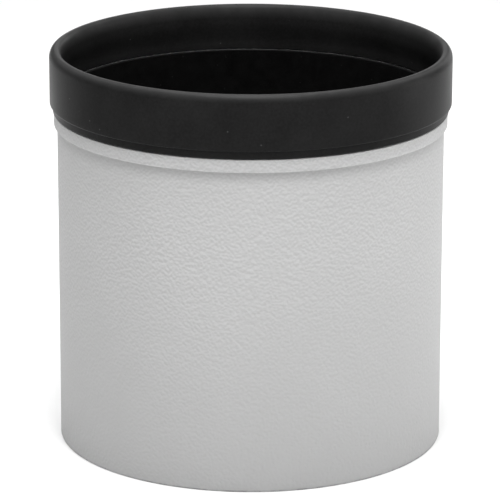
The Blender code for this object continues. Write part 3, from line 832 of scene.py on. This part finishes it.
def build_lock_screw():
    """The thread is a ridge that climbs one pitch for each turn."""
    screw_r, low, high = size_about_screw("lock_screw")
    shank_low = TUBE_INSIDE
    depth = 0.42 * MM
    tip_r = 1.9 * MM
    groove = (low + 0.15 * MM, low + 1.05 * MM)

    def threaded(radius, angle, height):
        if height <= shank_low or radius < screw_r:
            return radius
        phase = (height / THREAD_PITCH - angle / (2.0 * math.pi)) % 1.0
        ridge = min(1.0, max(0.0, 2.4 * abs(2.0 * phase - 1.0) - 0.7))
        ends = min(1.0, (height - shank_low) / THREAD_PITCH, (high - height) / THREAD_PITCH)
        return radius - depth * (1.0 - ridge) * max(0.0, ends)

    profile = [(0.0, low), (tip_r - 0.1 * MM, low), (tip_r, low + 0.1 * MM), (tip_r, groove[0]),
               (1.4 * MM, groove[0]), (1.4 * MM, groove[1]), (tip_r, groove[1]), (tip_r, shank_low),
               (screw_r - 0.2 * MM, shank_low), (screw_r, shank_low + 0.2 * MM)]
    profile += [(screw_r, height) for height in
                stepped_heights(shank_low + 0.3 * MM, high - 0.5 * MM, THREAD_PITCH / 10.0)]
    profile += [(screw_r - 0.5 * MM, high), (0.0, high)]
    screw = finish_mesh("lock_screw_fine", lathe_about_screw(profile, 60, False, threaded), STEEL)
    stand_for(screw, "lock_screw", "knob")


def build_knob_body():
    """A fluted knob: twelve soft scallops, a rounded rim and a recess for the cap."""
    low, high = size_about_screw("knob_body")[1:]
    knob_r = 11.0 * MM
    flute_depth = 0.9 * MM
    flutes = 12
    bore_r = 4.8 * MM
    recess_r = 8.3 * MM
    recess_z = high - 1.5 * MM
    bore_top = low + 9.5 * MM
    edge = 1.1 * MM

    def fluted(radius, angle, height):
        share = max(0.0, min(1.0, (radius - recess_r - 0.9 * MM) / (knob_r - recess_r - 0.9 * MM)))
        dip = (0.5 - 0.5 * math.cos(flutes * angle)) ** 1.6
        fade = min(1.0, (high - height) / (2.2 * MM)) if height > low + 4.0 * MM else 1.0
        return radius - flute_depth * dip * share * math.sqrt(max(0.0, fade))

    outline = [(0.0, bore_top), (bore_r, bore_top), (bore_r, low + 0.3 * MM), (bore_r + 0.3 * MM, low)]
    for step in range(9):
        turn = math.radians(90.0 * step / 8)
        outline.append((knob_r - edge + edge * math.sin(turn), low + edge - edge * math.cos(turn)))
    outline += [(knob_r, height) for height in stepped_heights(low + edge + MM, high - edge - MM, MM)]
    for step in range(9):
        turn = math.radians(90.0 * step / 8)
        outline.append((knob_r - edge + edge * math.cos(turn), high - edge + edge * math.sin(turn)))
    outline += [(recess_r + 0.5 * MM, high), (recess_r + 0.1 * MM, high - 0.15 * MM),
                (recess_r, high - 0.4 * MM), (recess_r, recess_z), (0.0, recess_z)]
    knob = finish_mesh("knob_body_fine", lathe_about_screw(outline, 240, False, fluted), KNOB_PLASTIC)
    stand_for(knob, "knob_body", "knob")


def build_cap():
    """A disc with a shallow dish."""
    cap_r, low, high = size_about_screw("knob_cap")
    dish = 0.35 * MM
    profile = [(0.0, low), (cap_r, low), (cap_r, high - 0.35 * MM), (cap_r - 0.1 * MM, high - 0.1 * MM),
               (cap_r - 0.35 * MM, high), (cap_r - 1.1 * MM, high)]
    for step in range(1, 11):
        share = step / 10
        profile.append(((cap_r - 1.1 * MM) * (1.0 - share),
                        high - dish * math.sin(0.5 * math.pi * share) ** 0.8))
    cap = finish_mesh("knob_cap_fine", lathe_about_screw(profile, SMALL_SEGMENTS, False), KNOB_PLASTIC)
    stand_for(cap, "knob_cap", "knob")


def build_washer():
    """A flat ring with softened edges."""
    washer_r, low, high = size_about_screw("knob_washer")
    bore_r = 2.8 * MM
    corners = [(bore_r, low, 0.1 * MM), (washer_r, low, 0.2 * MM),
               (washer_r, high, 0.2 * MM), (bore_r, high, 0.1 * MM)]
    washer = finish_mesh("knob_washer_fine", lathe_about_screw(rounded(corners)), NYLON)
    stand_for(washer, "knob_washer", "knob")


def finish_cad_nodes():
    """Small inner pieces keep their CAD shape and get their metal."""
    for node, finish in (("guide_pin_1", STEEL), ("guide_pin_2", STEEL), ("cross_pin", STEEL),
                         ("retaining_clip", STEEL), ("knob_insert", BRASS)):
        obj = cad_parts[node]
        obj.data.materials.clear()
        obj.data.materials.append(finish)


# ---------------------------------------------------------------- studio

# Soft boxes round the hood: degrees from the camera's side towards +X, degrees up, distance, size, watts
SOFT_BOXES = {
    "key": (0.0, 58.0, 0.85, 0.4, 2.3),
    "key_high": (0.0, 77.0, 0.85, 0.4, 7.2),
    "front_right": (30.0, 45.0, 0.9, 0.4, 0.6),
    "right": (100.0, 5.0, 0.8, 0.35, 1.0),
    "back_right": (120.0, 45.0, 0.9, 0.4, 1.25),
    "back_low_right": (150.0, 12.0, 2.3, 0.9, 3.0),
    "back_low": (180.0, 12.0, 2.3, 0.9, 1.8),
    "back_left": (-135.0, 45.0, 0.9, 0.4, 0.3),
    "back_high": (180.0, 63.0, 2.2, 1.2, 16.0),
    "overhead": (180.0, 76.0, 1.9, 1.0, 5.5),
    "back_left_high": (-120.0, 63.0, 2.2, 1.2, 8.5),
}
WORLD_STRENGTH = 0.02
FLOOR_RADIUS = 8.0


def build_lights():
    """Square soft boxes that look at the middle of the hood."""
    target = Vector((0.0, 0.0, RING_HIGH * 0.5))
    for name, (turn, rise, distance, size, power) in SOFT_BOXES.items():
        around = math.radians(turn)
        up = math.radians(rise)
        way = Vector((math.sin(around) * math.cos(up), -math.cos(around) * math.cos(up), math.sin(up)))
        lamp = bpy.data.lights.new(f"soft_box_{name}", "AREA")
        lamp.shape = "SQUARE"
        lamp.size = size
        lamp.energy = power
        obj = bpy.data.objects.new(lamp.name, lamp)
        obj.location = target + way * distance
        obj.rotation_euler = (-way).to_track_quat("-Z", "Y").to_euler()
        obj.visible_camera = False
        bpy.context.scene.collection.objects.link(obj)


def build_world():
    """A faint even light from all round."""
    world = bpy.data.worlds.new("studio")
    world.use_nodes = True
    background = world.node_tree.nodes["Background"]
    background.inputs["Color"].default_value = (1.0, 1.0, 1.0, 1.0)
    background.inputs["Strength"].default_value = WORLD_STRENGTH
    bpy.context.scene.world = world


def build_floor():
    """A wide pale floor just under the rear rim."""
    bm = bmesh.new()
    bmesh.ops.create_circle(bm, cap_ends=True, segments=96, radius=FLOOR_RADIUS)
    floor = finish_mesh("studio_floor", bm, make_floor_material())
    floor.location.z = TUBE_LOW - 0.05 * MM


def build_camera():
    """A long lens, well above the rim, looking down."""
    sideways = -0.2 * MM
    distance = 1.4986
    height = 0.5257
    pitch = 0.2893
    roll = 0.0023
    data = bpy.data.cameras.new("camera")
    data.sensor_width = 36.0
    data.lens = 264.1752
    data.clip_start = 0.05
    data.clip_end = 50.0
    camera = bpy.data.objects.new("camera", data)
    look = Matrix.Rotation(math.pi / 2 - pitch, 4, "X") @ Matrix.Rotation(roll, 4, "Z")
    camera.matrix_world = Matrix.Translation((sideways, -distance, height)) @ look
    bpy.context.scene.collection.objects.link(camera)
    bpy.context.scene.camera = camera


build_camera()
build_world()
build_lights()
build_floor()

build_tube()
build_band()
build_bumper()
build_lining()
build_collar()
build_seat_felt()
build_shoe()
build_saddle()
build_saddle_screws()
build_bush()
build_lock_screw()
build_knob_body()
build_cap()
build_washer()
finish_cad_nodes()

bpy.context.scene.view_settings.view_transform = "Standard"
